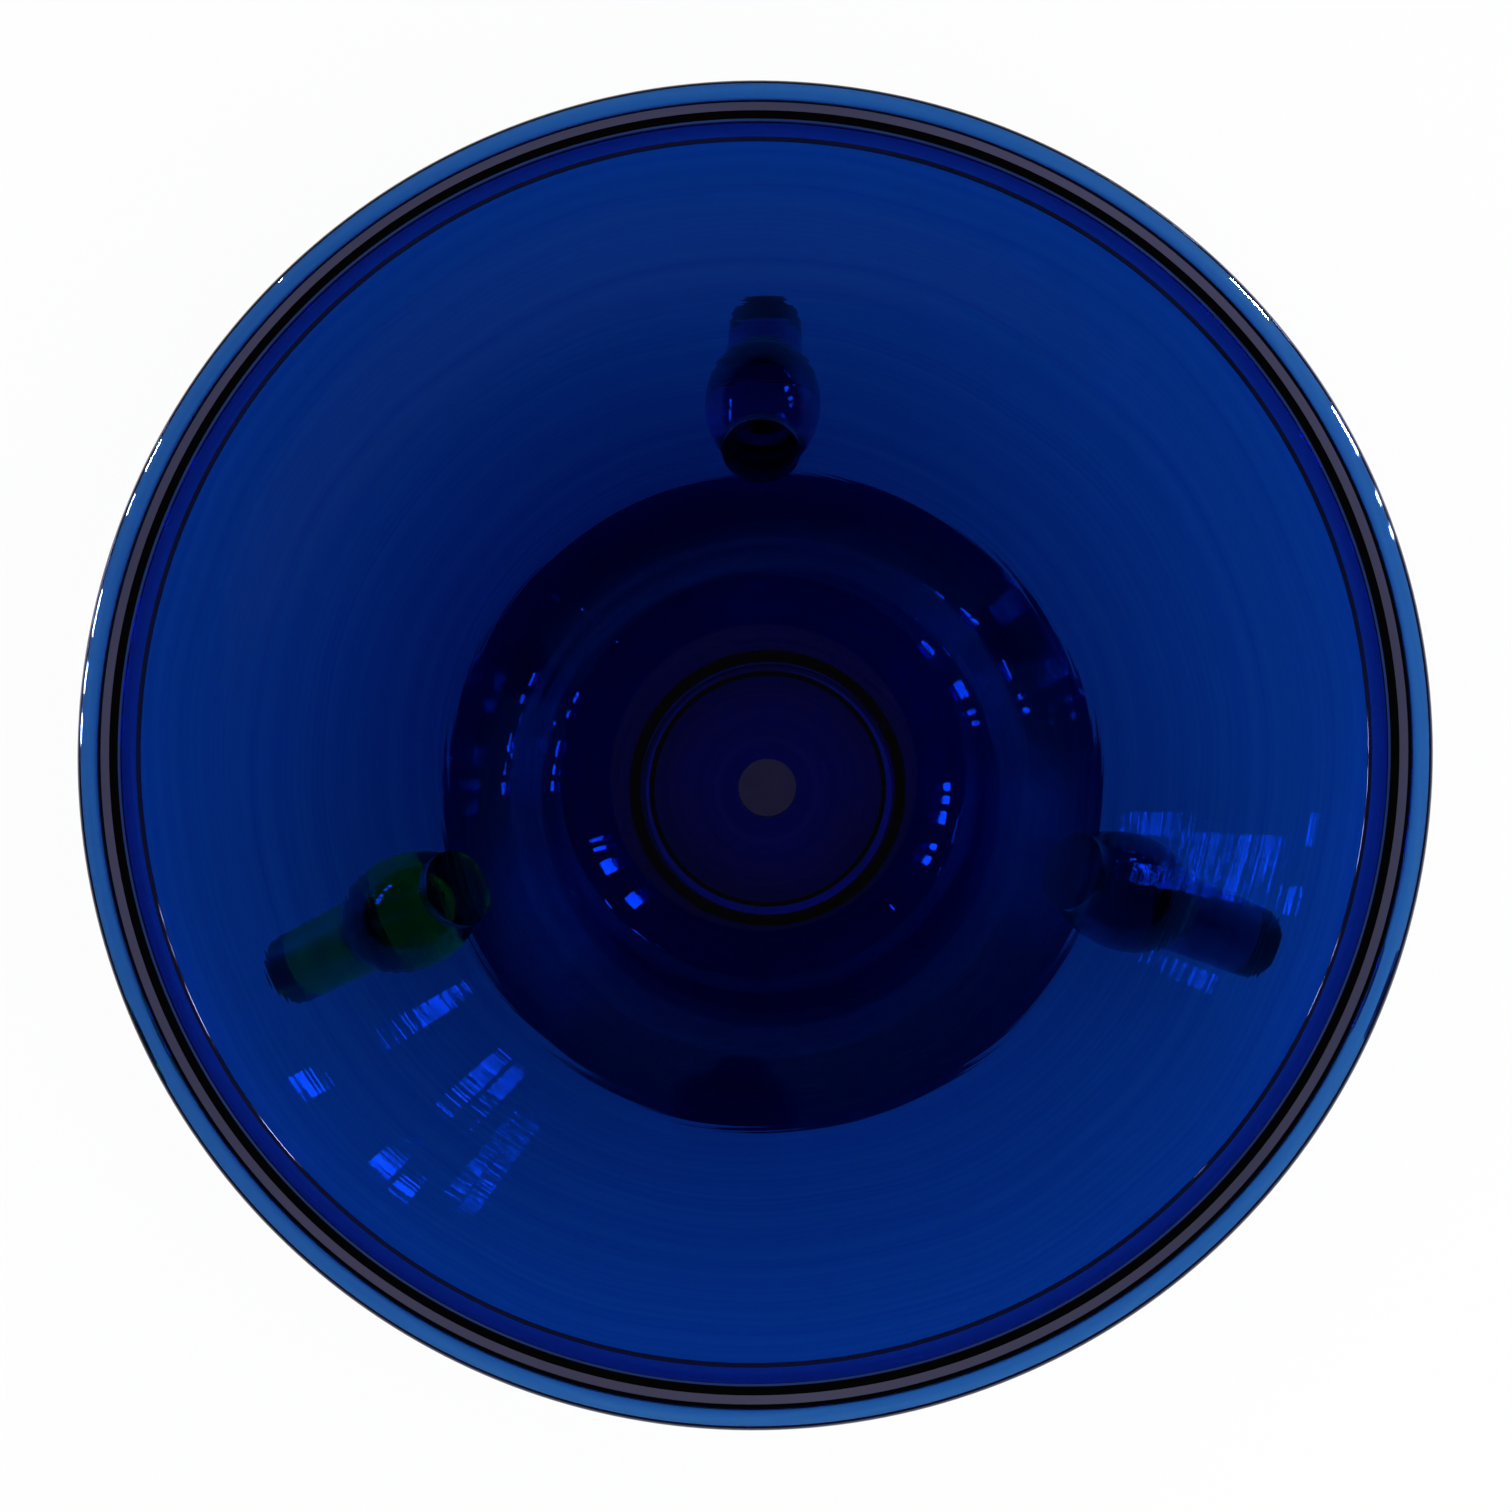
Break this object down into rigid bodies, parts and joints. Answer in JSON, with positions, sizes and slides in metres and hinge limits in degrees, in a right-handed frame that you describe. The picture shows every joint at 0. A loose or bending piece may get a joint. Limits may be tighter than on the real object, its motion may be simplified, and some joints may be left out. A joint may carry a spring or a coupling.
{
  "type": "glass bowl",
  "caption": "Conical bowl of blue glass with a broad flat-topped lip on a spreading foot, with three coloured glass lugs set square to its wall.",
  "frame": {"origin": "centre of the ring on which the foot stands, at table level", "axes": "+Z up along the bowl's axis; +Y towards the amethyst lug; +X to the right when the bowl is seen from above with +Y up"},
  "size_m": [0.3, 0.3, 0.168],
  "materials": {
    "cobalt_glass": "deep cobalt-blue blown glass, fire polished, faint rings left by turning",
    "amethyst_glass": "dark amethyst solid glass, fire polished",
    "green_glass": "bottle-green solid glass, fire polished",
    "smoke_glass": "smoky navy solid glass, fire polished",
    "ground_glass": "matt grey, ground and left unpolished"
  },
  "bodies": {
    "root": {"bowl": "cobalt_glass", "foot": "cobalt_glass", "stem_collar": "cobalt_glass", "centre_button": "ground_glass", "amethyst_lug_pad": "amethyst_glass", "amethyst_lug_body": "amethyst_glass", "amethyst_lug_cap": "cobalt_glass", "amethyst_lug_tip": "amethyst_glass", "green_lug_pad": "green_glass", "green_lug_body": "green_glass", "green_lug_cap": "cobalt_glass", "green_lug_tip": "green_glass", "smoke_lug_pad": "smoke_glass", "smoke_lug_body": "smoke_glass", "smoke_lug_cap": "cobalt_glass", "smoke_lug_tip": "smoke_glass"}
  },
  "joints": []
}
